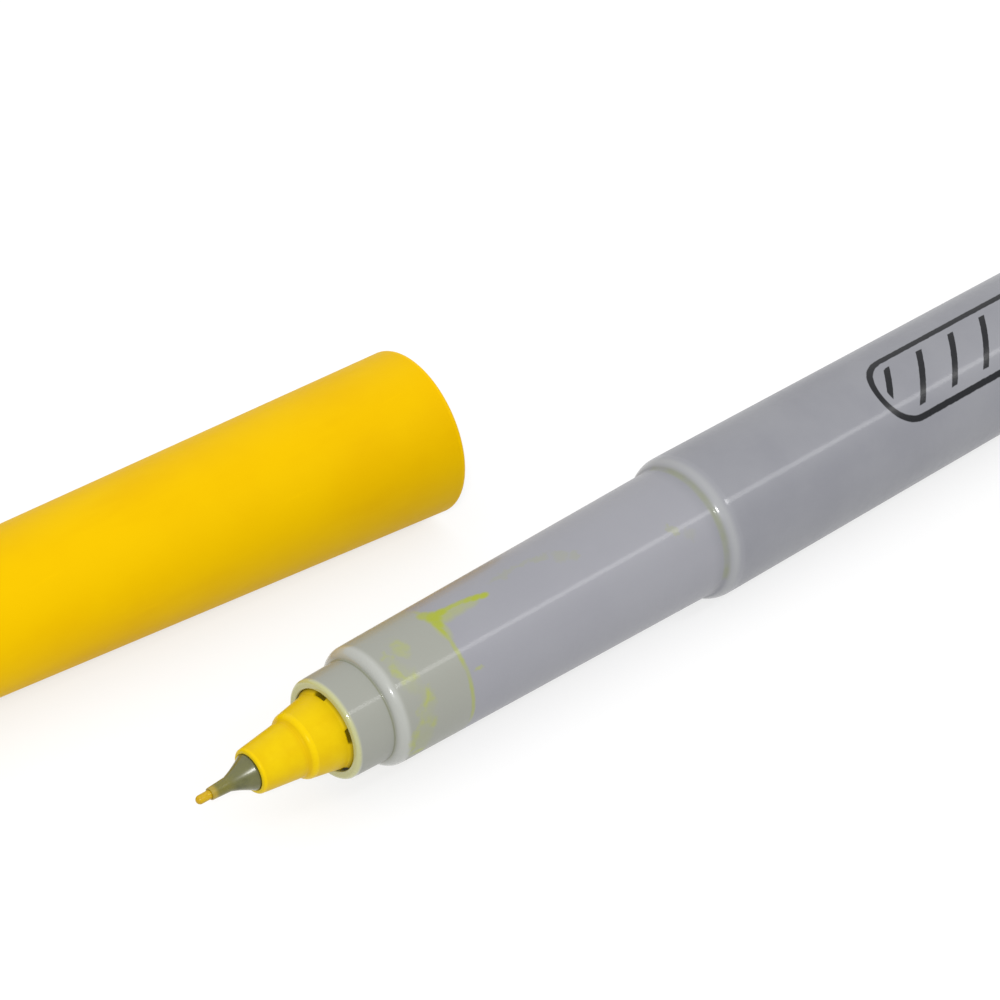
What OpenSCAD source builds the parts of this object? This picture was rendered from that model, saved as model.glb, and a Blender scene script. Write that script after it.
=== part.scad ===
// Ultra fine point permanent marker with its cap pulled off and laid beside it.
// The row's origin is on the marker's axis where the barrel's full diameter begins.
// +X runs along the barrel to its tail, +Z is up, and both pieces lie on z = -barrel_d / 2.

/* [Barrel] */
// Outer diameter of the barrel
barrel_d = 10.4; // [9.8:0.1:11.2]
// Length of the barrel behind the origin
barrel_len = 84; // [75:1:95]
// Length of the barrel that is a true cylinder, measured from the origin
grip_len = 64; // [50:1:68]
// Outer diameter of the barrel at its tail
tail_d = 9.5; // [9.2:0.1:9.7]
// Wall of the barrel behind the nose
barrel_wall = 1.1; // [1:0.05:1.3]
// Radius of the rim that the cap stops against
rim_round = 1.6; // [1.2:0.05:2]

/* [Nose] */
// Distance from the origin to the nose's front shoulder
nose_len = 29.1; // [28:0.1:30]
// Diameter of the nose where it meets the rim
nose_rear_d = 9.3; // [9:0.05:9.5]
// Diameter of the nose at its front shoulder
nose_front_d = 8.18; // [8:0.02:8.4]
// Rounding of the front shoulder
shoulder_round = 0.85; // [0.6:0.05:1]
// Length of the collar in front of the shoulder
collar_len = 2.83; // [2.5:0.01:3.2]
// Diameter of the collar where it meets the shoulder
collar_rear_d = 6.94; // [6.8:0.02:7]
// Diameter of the collar at its mouth
collar_front_d = 6.78; // [6.6:0.02:6.8]
// Bore of the collar that holds the nib holder
collar_bore_d = 5.6; // [5.4:0.05:5.7]

/* [Nib] */
// Distance from the origin to the end of the nib
nib_reach = 41.75; // [41.6:0.05:41.9]
// Diameter of the nib
nib_d = 0.58; // [0.5:0.02:0.6]
// Length of nib in front of its sleeve
nib_exposed = 1; // [0.8:0.05:1.2]
// Diameter of the sleeve at its front end
sleeve_tip_d = 0.8; // [0.78:0.02:0.9]
// Diameter of the sleeve's cone where it enters the holder
sleeve_base_d = 2.46; // [2.44:0.02:2.56]
// Length of the sleeve's straight tube
sleeve_tube_len = 1.35; // [1.2:0.05:1.5]
// Length of the sleeve's flared cone
sleeve_cone_len = 1.65; // [1.5:0.05:1.8]

/* [Holder] */
// Diameter of the holder's front rim
holder_rim_d = 2.98; // [2.9:0.02:3.1]
// Diameter of the holder just in front of its step
holder_waist_d = 3.74; // [3.7:0.02:3.8]
// Diameter of the holder just behind its step
holder_step_d = 4.44; // [4.4:0.02:4.5]
// Length of the narrow cone
holder_front_len = 3; // [2.8:0.05:3.1]
// Length over which the step rises
holder_step_len = 0.7; // [0.7:0.05:0.8]
// Number of vent slots round the holder
vent_count = 5; // [4:1:6]
// Width of one vent slot
vent_w = 0.95; // [0.7:0.05:1.1]

/* [Cap] */
// Outer diameter of the cap at its mouth
cap_mouth_d = 12.08; // [12:0.02:12.16]
// Length of the cap
cap_len = 52; // [50:0.5:56]
// Diameter lost for each millimetre of length
cap_draft = 0.0544; // [0.04:0.0002:0.056]
// Wall of the cap
cap_wall = 0.9; // [0.86:0.02:0.94]
// Rounding of the cap's closed end
cap_end_round = 1.2; // [0.8:0.1:1.6]
// Where the inner seal's lip meets the nose, measured from the cap's mouth
seal_start = 22; // [20:0.5:23]

/* [Clip] */
// Width of the clip at its root
clip_w = 4.6; // [4:0.1:5]
// Thickness of the clip
clip_t = 1.1; // [1:0.05:1.2]
// Distance from the cap's axis to the clip's inner face
clip_standoff = 6.8; // [6.75:0.05:7]
// Angle of the clip from straight down, towards the far side
clip_turn = 68; // [60:1:75]

/* [Layout] */
// Place of the cap's mouth along the barrel
cap_x = -6.9; // [-12:0.1:0]
// Place of the cap's mouth beside the barrel
cap_y = 20.3; // [18:0.1:30]
// Angle between the cap's axis and the barrel's axis
cap_yaw = 3.72; // [0:0.01:8]

/* [Hidden] */
$fn = 96;

eps = 0.01;
slide_gap = 0.02;

// Barrel and nose, as places on the X axis
barrel_r = barrel_d / 2;
rim_fillet = 0.5;
rim_foot_x = -step_reach(nose_rear_d / 2, barrel_r, rim_round, rim_fillet);
shoulder_x = -nose_len;
collar_x = shoulder_x - collar_len;
nib_x = -nib_reach;
bore_r = barrel_r - barrel_wall;
nose_bore_r = 3.5;
web_bore_r = 1.6;
holder_seat_x = -21;
web_rear_x = -16.5;
nose_bore_rear_x = 2;
rib_count = 6;
rib_w = 0.8;
rib_rear_x = 68;
tail_edge_round = 0.4;
mouth_outer_round = 0.25;

// Nib, sleeve and holder, as places on the X axis
sleeve_x = nib_x + nib_exposed;
cone_x = sleeve_x + sleeve_tube_len;
holder_x = cone_x + sleeve_cone_len;
waist_x = holder_x + holder_front_len;
step_x = waist_x + holder_step_len;
holder_stem_r = collar_bore_d / 2 - slide_gap;
holder_mouth_r = 2.57;
flare_front_x = collar_x - 0.1;
flare_rear_x = collar_x + 0.15;
holder_rim_round = 0.2;
holder_step_round = 0.5;
holder_step_fillet = 0.3;
vent_depth = 0.42;
vent_phase = -4;
vent_front_x = collar_x + 0.05;
sleeve_throat_d = 0.96;
sleeve_stem_r = 1.2;
sleeve_stem_len = 5;
nib_len = 12;
wick_r = 1;
wick_gap = 0.1;
wick_front_x = holder_x + sleeve_stem_len + wick_gap;
wick_rear_x = -8;
core_r = 3.3;
core_front_x = -14;
core_rear_x = 68.5;
wrap_t = 0.12;

// End plug
plug_flange_r = 4.4;
plug_flange_t = 1.2;
plug_stub_len = 14;
plug_bore_r = 3;

// Cap, as distances from its mouth to the closed end
cap_r = cap_mouth_d / 2;
cap_slope = cap_draft / 2;
cap_end_wall = 1.2;
cap_mouth_round = 0.35;
cap_dish_r = 2.2;
cap_dish_depth = 0.4;
seal_end = 43.8;
seal_end_wall = 0.8;
seal_lip_r = 4.3;
seal_throat = 29.6;
seal_throat_r = 4.17;
seal_chamber_r = 3.6;
seal_step = 0.5;
seal_gap = 0.03;

function cap_outer(c) = cap_r - cap_slope * c;
function cap_inner(c) = cap_outer(c) - cap_wall;

// Clip
clip_hinge = 45.5;
clip_hinge_r = clip_standoff + clip_t / 2;
clip_free_end = 7;
clip_tip_w = 3.8;
clip_top_r = clip_standoff + clip_t;
clip_tip_t = 0.75;
clip_lead = 0.3;
bridge_end = 50.2;
bridge_gap = 0.12;
bridge_round = 1.5;
bridge_foot_r = cap_inner(clip_hinge) + cap_wall / 2;
bump_at = 10.5;
bump_r = 1.45;

// Turns a profile of [radius, place along X] into a solid about the X axis
module about_x() {
    rotate([0, 90, 0])
        rotate_extrude()
            children();
}

// One half of a circle's corner, used to round a profile's corner outwards
module quarter(r, x, round_r, towards) {
    intersection() {
        translate([r, x])
            circle(r = round_r);
        translate([0, towards > 0 ? x : x - round_r])
            square([r + round_r, round_r]);
    }
}

// The space of a plain bore between two places on the axis
module bore(r, x0, x1) {
    translate([0, x0])
        square([r, x1 - x0]);
}

// How far in front of its full height a smooth step starts
function step_reach(low_r, high_r, convex, concave) =
    sqrt((convex + concave) ^ 2 - (low_r + concave - high_r + convex) ^ 2);

// A step in a profile from low_r up to high_r, which it reaches at x, with a rounded foot and corner
module smooth_step(low_r, high_r, x, convex, concave) {
    foot_x = x - step_reach(low_r, high_r, convex, concave);
    inner_r = min(low_r, high_r - convex) - eps;
    difference() {
        polygon([
            [inner_r, foot_x], [low_r + concave, foot_x],
            [high_r - convex, x], [inner_r, x]
        ]);
        translate([low_r + concave, foot_x])
            circle(r = concave);
    }
    quarter(high_r - convex, x, convex, -1);
}

module barrel_outline() {
    collar_tip = collar_x + mouth_outer_round;
    shoulder_centre_r = nose_front_d / 2 - shoulder_round;
    shoulder_tangent = shoulder_x + shoulder_round;
    tail_corner = barrel_len - tail_edge_round;
    polygon([
        [0, collar_tip], [collar_front_d / 2, collar_tip],
        [collar_rear_d / 2, shoulder_tangent], [0, shoulder_tangent]
    ]);
    translate([0, collar_x])
        square([collar_front_d / 2 - mouth_outer_round, mouth_outer_round + eps]);
    quarter(collar_front_d / 2 - mouth_outer_round, collar_tip, mouth_outer_round, -1);
    quarter(shoulder_centre_r, shoulder_tangent, shoulder_round, -1);
    polygon([
        [0, shoulder_tangent], [nose_front_d / 2, shoulder_tangent],
        [nose_rear_d / 2, rim_foot_x], [nose_rear_d / 2, 0], [0, 0]
    ]);
    smooth_step(nose_rear_d / 2, barrel_r, 0, rim_round, rim_fillet);
    polygon([
        [0, 0], [barrel_r, 0], [barrel_r, grip_len],
        [tail_d / 2, tail_corner], [0, tail_corner]
    ]);
    quarter(tail_d / 2 - tail_edge_round, tail_corner, tail_edge_round, 1);
    translate([0, tail_corner - eps])
        square([tail_d / 2 - tail_edge_round, tail_edge_round + eps]);
}

module barrel() {
    color([0.63, 0.63, 0.67]) {
        about_x()
            difference() {
                barrel_outline();
                bore(collar_bore_d / 2, collar_x - 1, holder_seat_x);
                bore(web_bore_r, holder_seat_x - 1, web_rear_x + 1);
                bore(nose_bore_r, web_rear_x, nose_bore_rear_x + 1);
                bore(bore_r, nose_bore_rear_x, barrel_len + 1);
            }
        for (i = [0 : rib_count - 1])
            rotate([360 / rib_count * i, 0, 0])
                translate([nose_bore_rear_x - eps, -rib_w / 2, nose_bore_r])
                    cube([rib_rear_x - nose_bore_rear_x, rib_w, bore_r - nose_bore_r + barrel_wall / 2]);
    }
}

module end_plug() {
    flange_face = barrel_len + plug_flange_t;
    color([0.62, 0.62, 0.66])
        about_x()
            difference() {
                union() {
                    bore(bore_r - slide_gap, barrel_len - plug_stub_len, barrel_len);
                    bore(plug_flange_r, barrel_len, flange_face - tail_edge_round);
                    bore(plug_flange_r - tail_edge_round, barrel_len, flange_face);
                    quarter(
                        plug_flange_r - tail_edge_round, flange_face - tail_edge_round,
                        tail_edge_round, 1
                    );
                }
                bore(plug_bore_r, barrel_len - plug_stub_len - 1, barrel_len - 1);
            }
}

module holder_outline() {
    rim_r = holder_rim_d / 2;
    waist_r = holder_waist_d / 2;
    step_r = holder_step_d / 2;
    rim_back = holder_x + holder_rim_round;
    bore(rim_r - holder_rim_round, holder_x, rim_back + eps);
    quarter(rim_r - holder_rim_round, rim_back, holder_rim_round, -1);
    polygon([
        [0, rim_back], [rim_r, rim_back], [waist_r, waist_x], [waist_r, step_x], [0, step_x]
    ]);
    smooth_step(waist_r, step_r, step_x, holder_step_round, holder_step_fillet);
    polygon([
        [0, step_x], [step_r, step_x],
        [holder_mouth_r, flare_front_x], [holder_stem_r, flare_rear_x],
        [holder_stem_r, holder_seat_x], [0, holder_seat_x]
    ]);
}

module nib_holder() {
    color([0.97, 0.81, 0.05])
        difference() {
            about_x()
                difference() {
                    holder_outline();
                    bore(sleeve_stem_r + slide_gap, holder_x - 1, holder_x + sleeve_stem_len);
                    bore(wick_r + slide_gap, holder_x, holder_seat_x + 1);
                }
            for (i = [0 : vent_count - 1])
                rotate([vent_phase + 360 / vent_count * i, 0, 0])
                    translate([vent_front_x, -vent_w / 2, holder_stem_r - vent_depth])
                        cube([holder_seat_x - vent_front_x + 1, vent_w, 2 * vent_depth]);
        }
}

module nib_sleeve() {
    flare_steps = 10;
    flare_bow = 0.3;
    flare_rise = (sleeve_base_d - sleeve_throat_d) / 2;
    flare = [
        for (i = [0 : flare_steps])
            let (t = i / flare_steps, bowed = t - flare_bow * t * (1 - t))
            [sleeve_throat_d / 2 + flare_rise * bowed, cone_x + sleeve_cone_len * t]
    ];
    color([0.45, 0.46, 0.24])
        about_x()
            difference() {
                union() {
                    polygon(concat(
                        [[0, sleeve_x], [sleeve_tip_d / 2, sleeve_x]], flare, [[0, holder_x]]
                    ));
                    bore(sleeve_stem_r, holder_x - eps, holder_x + sleeve_stem_len);
                }
                bore(nib_d / 2 + slide_gap, sleeve_x - 1, holder_x + sleeve_stem_len + 1);
            }
}

module nib() {
    color([0.93, 0.76, 0.1]) {
        translate([nib_x + nib_d / 2, 0, 0])
            rotate([0, 90, 0])
                cylinder(d = nib_d, h = nib_len - nib_d / 2);
        translate([nib_x + nib_d / 2, 0, 0])
            sphere(d = nib_d);
    }
}

module feed_wick() {
    color([0.9, 0.85, 0.4])
        about_x()
            difference() {
                bore(wick_r, wick_front_x, wick_rear_x);
                bore(nib_d / 2 + slide_gap, wick_front_x - 1, nib_x + nib_len + slide_gap);
            }
}

module reservoir_core() {
    color([0.92, 0.87, 0.35])
        about_x()
            difference() {
                bore(core_r, core_front_x, core_rear_x);
                bore(wick_r + slide_gap, core_front_x - 1, wick_rear_x + slide_gap);
            }
}

module reservoir_wrap() {
    color([0.95, 0.94, 0.8])
        about_x()
            difference() {
                bore(core_r + wrap_t, core_front_x, core_rear_x);
                bore(core_r, core_front_x - 1, core_rear_x + 1);
            }
}

// Puts a piece made round its own mouth, with its closed end towards -X, where the cap lies
module at_cap() {
    translate([cap_x, cap_y, cap_r - barrel_r])
        rotate([0, 0, -cap_yaw])
            children();
}

// Turns a piece made above the cap so that it sits on the clip's side
module at_clip_side() {
    rotate([clip_turn - 180, 0, 0])
        children();
}

module cap_outline() {
    end_centre_r = cap_outer(cap_len - cap_end_round) - cap_end_round;
    lip_r = cap_r - cap_mouth_round;
    bore(lip_r, -cap_mouth_round - eps, 0);
    quarter(lip_r, -cap_mouth_round, cap_mouth_round, 1);
    polygon([
        [0, -cap_mouth_round], [cap_r, -cap_mouth_round],
        [cap_outer(cap_len - cap_end_round), cap_end_round - cap_len], [0, cap_end_round - cap_len]
    ]);
    quarter(end_centre_r, cap_end_round - cap_len, cap_end_round, -1);
    bore(end_centre_r, -cap_len, cap_end_round - cap_len + eps);
}

module cap_shell() {
    cavity_end = cap_len - cap_end_wall;
    color([0.99, 0.8, 0.04])
        at_cap() {
            about_x()
                difference() {
                    cap_outline();
                    polygon([
                        [0, 1], [cap_inner(-1), 1],
                        [cap_inner(cavity_end), -cavity_end], [0, -cavity_end]
                    ]);
                    translate([0, -cap_len - 1])
                        square([cap_dish_r, 1 + cap_dish_depth]);
                }
            at_clip_side()
                clip_bridge();
        }
}

// Side view of the raised block, as [place along the cap, distance from its axis]
module bridge_side() {
    foot = sqrt(bridge_foot_r ^ 2 - (clip_w / 2) ^ 2) - eps;
    bridge_len = bridge_end - clip_hinge - bridge_gap;
    translate([-bridge_end, foot])
        square([bridge_len, clip_top_r - bridge_round - foot]);
    translate([bridge_round - bridge_end, foot])
        square([bridge_len - bridge_round, clip_top_r - foot]);
    translate([bridge_round - bridge_end, clip_top_r - bridge_round])
        circle(r = bridge_round);
}

// Side view of the clip, with a thinner free end whose underside lifts
module clip_side() {
    translate([-clip_hinge, clip_hinge_r])
        circle(d = clip_t);
    polygon([
        [-clip_hinge, clip_standoff], [-bump_at, clip_standoff],
        [-clip_free_end, clip_top_r - clip_tip_t + clip_lead],
        [-clip_free_end, clip_top_r - clip_lead],
        [-bump_at, clip_top_r], [-clip_hinge, clip_top_r]
    ]);
    intersection() {
        translate([-bump_at, clip_hinge_r])
            circle(r = bump_r);
        translate([-bump_at - bump_r, clip_hinge_r - bump_r])
            square([2 * bump_r, bump_r]);
    }
}

// Plan view of the clip, narrowing to a round free end
module clip_plan() {
    tip_at = clip_free_end + clip_tip_w / 2;
    polygon([
        [-clip_hinge - clip_t, -clip_w / 2], [-clip_hinge, -clip_w / 2], [-tip_at, -clip_tip_w / 2],
        [-tip_at, clip_tip_w / 2], [-clip_hinge, clip_w / 2], [-clip_hinge - clip_t, clip_w / 2]
    ]);
    translate([-tip_at, 0])
        circle(d = clip_tip_w);
}

// Raises a side view across the clip's width, with a top and foot that curve round the cap's axis
module across_clip() {
    intersection() {
        rotate([90, 0, 0])
            linear_extrude(height = clip_w, center = true)
                children();
        about_x()
            difference() {
                bore(clip_top_r, -cap_len, 0);
                bore(bridge_foot_r, -cap_len - 1, 1);
            }
    }
}

// Raised block near the closed end that carries the clip's root
module clip_bridge() {
    difference() {
        across_clip()
            bridge_side();
        translate([-clip_hinge, 0, clip_hinge_r])
            rotate([90, 0, 0])
                cylinder(r = clip_t / 2 + slide_gap * 2, h = clip_w + 2, center = true);
    }
}

module cap_clip() {
    color([0.99, 0.8, 0.04])
        at_cap()
            at_clip_side()
                intersection() {
                    across_clip()
                        clip_side();
                    linear_extrude(height = 2 * clip_top_r)
                        clip_plan();
                }
}

module cap_inner_seal() {
    chamber_end = seal_end - seal_end_wall;
    color([0.96, 0.86, 0.3])
        at_cap()
            about_x()
                difference() {
                    polygon([
                        [0, -seal_start], [cap_inner(seal_start) - seal_gap, -seal_start],
                        [cap_inner(seal_end) - seal_gap, -seal_end], [0, -seal_end]
                    ]);
                    polygon([
                        [0, 1 - seal_start], [seal_lip_r, 1 - seal_start], [seal_lip_r, -seal_start],
                        [seal_throat_r, -seal_throat], [seal_chamber_r, -seal_throat - seal_step],
                        [seal_chamber_r, -chamber_end], [0, -chamber_end]
                    ]);
                }
}

barrel();
end_plug();
nib_holder();
nib_sleeve();
nib();
feed_wick();
reservoir_core();
reservoir_wrap();
cap_shell();
cap_inner_seal();
cap_clip();
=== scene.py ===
import math

import bmesh
import bpy
from mathutils import Matrix, Vector


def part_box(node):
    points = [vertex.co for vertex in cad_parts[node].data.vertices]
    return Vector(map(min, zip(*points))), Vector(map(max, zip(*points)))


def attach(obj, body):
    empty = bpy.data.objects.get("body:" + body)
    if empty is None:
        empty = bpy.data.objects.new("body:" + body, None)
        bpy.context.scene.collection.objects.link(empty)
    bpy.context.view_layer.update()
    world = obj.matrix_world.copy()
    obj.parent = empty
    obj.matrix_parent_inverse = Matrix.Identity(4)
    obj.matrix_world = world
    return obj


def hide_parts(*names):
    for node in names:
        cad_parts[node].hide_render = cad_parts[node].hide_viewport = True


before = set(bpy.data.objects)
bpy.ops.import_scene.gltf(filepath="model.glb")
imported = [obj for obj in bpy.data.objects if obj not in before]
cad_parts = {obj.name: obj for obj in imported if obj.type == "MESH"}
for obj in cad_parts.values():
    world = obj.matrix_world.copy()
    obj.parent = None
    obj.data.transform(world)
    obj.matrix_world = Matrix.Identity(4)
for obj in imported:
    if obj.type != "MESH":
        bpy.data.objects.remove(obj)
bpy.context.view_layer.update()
scene = bpy.context.scene

# Lengths are in millimetres, in the part's own frame, until add_object scales a finished mesh by MM.
MM = 0.001

# Barrel and nose
BARREL_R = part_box("barrel")[1].z / MM
BARREL_TAIL_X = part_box("barrel")[1].x / MM
COLLAR_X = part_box("barrel")[0].x / MM
GRIP_END_X = 64.0
TAIL_R = 4.75
RIM_ROUND = 1.6
RIM_FILLET = 0.5
NOSE_REAR_R = 4.65
NOSE_FRONT_R = 4.09
SHOULDER_X = -29.1
SHOULDER_ROUND = 0.85
COLLAR_REAR_R = 3.47
COLLAR_FRONT_R = 3.39
COLLAR_BORE_R = 2.8
BORE_R = 4.1
NOSE_BORE_R = 3.5
WEB_BORE_R = 1.6
HOLDER_SEAT_X = -21.0
WEB_REAR_X = -16.5
NOSE_BORE_REAR_X = 2.0
RIB_REAR_X = 68.0
RIB_COUNT = 6
RIB_HALF_ANGLE = 6.0

# Plug in the tail
PLUG_FACE_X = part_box("end_plug")[1].x / MM
PLUG_DEPTH, PLUG_FLOOR = 14.0, 1.0
PLUG_R, PLUG_FLANGE_R, PLUG_HOLLOW_R = 4.08, 4.4, 3.0
PLUG_GROOVE_R, PLUG_GROOVE_DEPTH = 2.5, 0.06
GATE_MARK_R, GATE_MARK_DEPTH = 0.4, 0.1

# Nib, sleeve and holder
NIB_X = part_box("nib")[0].x / MM
NIB_REAR_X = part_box("nib")[1].x / MM
NIB_R = 0.29
SLEEVE_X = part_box("nib_sleeve")[0].x / MM
SLEEVE_REAR_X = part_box("nib_sleeve")[1].x / MM
CONE_X = SLEEVE_X + 1.35
HOLDER_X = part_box("nib_holder")[0].x / MM
STEP_X = HOLDER_X + 3.7
VENT_FRONT_X = COLLAR_X + 0.05
VENT_COUNT = 5
VENT_PHASE = -4.0
VENT_HALF_ANGLE = 10.0
VENT_FLOOR_R = 2.36

# Cap, seal and clip: places along the cap are distances from its mouth
CAP_X, CAP_Y, CAP_YAW = -6.9, 20.3, 3.72
CAP_R = 6.04
CAP_SLOPE = 0.0272
CAP_WALL = 0.9
CAP_LEN = 52.0
CAP_END_WALL, CAP_END_ROUND = 1.2, 1.2
CAP_DISH_R, CAP_DISH_DEPTH = 2.2, 0.4
SEAL_START, SEAL_THROAT, SEAL_END = 22.0, 29.6, 43.8
SEAL_LIP_R, SEAL_THROAT_R, SEAL_CHAMBER_R = 4.3, 4.17, 3.6
SEAL_FLOOR, SEAL_GAP = 0.8, 0.03
CLIP_TURN = 68.0
CLIP_INNER = 6.8
CLIP_TOP = 7.9
CLIP_HINGE = 45.5
CLIP_HINGE_R = 7.35
CLIP_HALF_T = 0.55
CLIP_ROOT_W = 2.3
CLIP_TIP_W = 1.9
CLIP_FREE_END = 7.0
CLIP_TIP_LIFT, CLIP_TIP_DROP = 0.65, 0.3
BUMP_AT, BUMP_R = 10.5, 1.45
BRIDGE_END, BRIDGE_FRONT = 50.2, 45.62
BRIDGE_ROUND, BRIDGE_FOOT = 1.5, 3.7

# Points round a turned piece, and along an arc in its profile
SEGMENTS = 160
ARC_STEPS = 8

CAP_PLACE = (
    Matrix.Translation((CAP_X, CAP_Y, CAP_R - BARREL_R))
    @ Matrix.Rotation(math.radians(-CAP_YAW), 4, "Z")
)
CLIP_PLACE = CAP_PLACE @ Matrix.Rotation(math.radians(CLIP_TURN - 180), 4, "X")


# ---- mesh tools ----

def arc(centre, radius, start, end, steps=ARC_STEPS):
    """Points on a circle in a profile's plane, from one angle to another in degrees."""
    turns = [math.radians(start + (end - start) * k / steps) for k in range(steps + 1)]
    return [(centre[0] + radius * math.cos(t), centre[1] + radius * math.sin(t)) for t in turns]


def step_curve(low_r, high_r, x, convex, concave):
    """A smooth step up in a profile, from its foot to its full height at x."""
    centre_r = high_r - convex
    foot_r = low_r + concave
    foot_x = x - math.sqrt((convex + concave) ** 2 - (foot_r - centre_r) ** 2)
    lean = math.degrees(math.atan2(foot_r - centre_r, foot_x - x))
    foot = arc((foot_x, foot_r), concave, 270, lean + 180)
    return foot + arc((x, centre_r), convex, lean, 90, 12)[1:]


def rounded(corners, steps=ARC_STEPS):
    """Turns corners (x, r) or (x, r, fillet) into points, with an arc where there is a fillet."""
    points = []
    for i, corner in enumerate(corners):
        here = Vector(corner[:2])
        if len(corner) < 3:
            points.append(here)
            continue
        before = (Vector(corners[i - 1][:2]) - here).normalized()
        after = (Vector(corners[(i + 1) % len(corners)][:2]) - here).normalized()
        half = before.angle(after) / 2
        reach = corner[2] / math.tan(half)
        centre = here + (before + after).normalized() * corner[2] / math.sin(half)
        first = here + before * reach - centre
        last = here + after * reach - centre
        sweep = math.pi - 2 * half
        for k in range(steps + 1):
            t = k / steps
            turn = first * math.sin((1 - t) * sweep) + last * math.sin(t * sweep)
            points.append(centre + turn / math.sin(sweep))
    return points


def with_loops(points, closed, guard=0.08, longest=3.0):
    """Adds points along the straight stretches and close to their ends, so that smooth shading stays even."""
    out = []
    for a, b in zip(points, points[1:] + (points[:1] if closed else [])):
        out.append(a)
        length = (b - a).length
        if length < 4 * guard:
            continue
        parts = math.ceil(length / longest)
        cuts = {guard / length, 1 - guard / length} | {k / parts for k in range(1, parts)}
        out += [a.lerp(b, t) for t in sorted(cuts)]
    if not closed:
        out.append(points[-1])
    return out


def profile_wear(points, closed):
    """How sharply a profile turns outwards at each point, from 0 to 1."""
    wear = []
    for i, here in enumerate(points):
        if not closed and i in (0, len(points) - 1):
            wear.append(0.0)
            continue
        a = here - points[i - 1]
        b = points[(i + 1) % len(points)] - here
        turn = math.atan2(a.y * b.x - a.x * b.y, a.dot(b))
        sharpness = turn / max(a.length + b.length, 0.05)
        wear.append(min(1.0, max(0.0, sharpness * 1.2)))
    return wear


def add_object(bm, name, body, nodes, material, place):
    """Makes a finished piece in metres from a mesh in millimetres."""
    bmesh.ops.recalc_face_normals(bm, faces=bm.faces)
    bm.transform(Matrix.Scale(MM, 4) @ place)
    mesh = bpy.data.meshes.new(name)
    bm.to_mesh(mesh)
    bm.free()
    mesh.shade_smooth()
    mesh.materials.append(material)
    obj = bpy.data.objects.new(name, mesh)
    scene.collection.objects.link(obj)
    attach(obj, body)
    if nodes:
        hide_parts(*nodes)
    return obj


def lathe(name, corners, body, nodes, material, closed=False, shape=None, place=Matrix.Identity(4)):
    """A turned piece about the X axis. shape(x, r, degrees) may change the radius round a ring.
    The attribute "edge" says how worn each vertex is."""
    points = with_loops([Vector(p) for p in rounded(corners)], closed)
    wear = profile_wear(points, closed)
    bm = bmesh.new()
    edge = bm.verts.layers.float.new("edge")
    rings = []
    for (x, r), worn in zip(points, wear):
        ring = []
        for k in range(SEGMENTS if r > 1e-4 else 1):
            turn = 2 * math.pi * k / SEGMENTS
            here = shape(x, r, math.degrees(turn)) if shape else r
            vert = bm.verts.new((x, -here * math.sin(turn), here * math.cos(turn)))
            vert[edge] = worn
            ring.append(vert)
        rings.append(ring)
    for a, b in zip(rings, rings[1:] + (rings[:1] if closed else [])):
        for k in range(SEGMENTS):
            n = (k + 1) % SEGMENTS
            quad = [a[k % len(a)], a[n % len(a)], b[n % len(b)], b[k % len(b)]]
            bm.faces.new(dict.fromkeys(quad))
    add_object(bm, name, body, nodes, material, place)


def loft(name, rings, body, nodes, material, place):
    """A skin over rings of the same number of points, closed at both ends and worn nowhere."""
    bm = bmesh.new()
    bm.verts.layers.float.new("edge")
    verts = [[bm.verts.new(p) for p in ring] for ring in rings]
    count = len(rings[0])
    for a, b in zip(verts, verts[1:]):
        for k in range(count):
            n = (k + 1) % count
            bm.faces.new((a[k], a[n], b[n], b[k]))
    bm.faces.new(verts[0])
    bm.faces.new(verts[-1])
    obj = add_object(bm, name, body, nodes, material, place)
    obj.data.set_sharp_from_angle(angle=math.radians(40))


def near_multiple(degrees, count, phase, half_angle):
    """True within half_angle of one of count directions spaced evenly round the axis."""
    step = 360 / count
    off = (degrees - phase + step / 2) % step - step / 2
    return abs(off) < half_angle


# ---- material tools ----

# How bright a white card facing the lamps would look
STUDIO_LIGHT = 1.6


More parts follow.
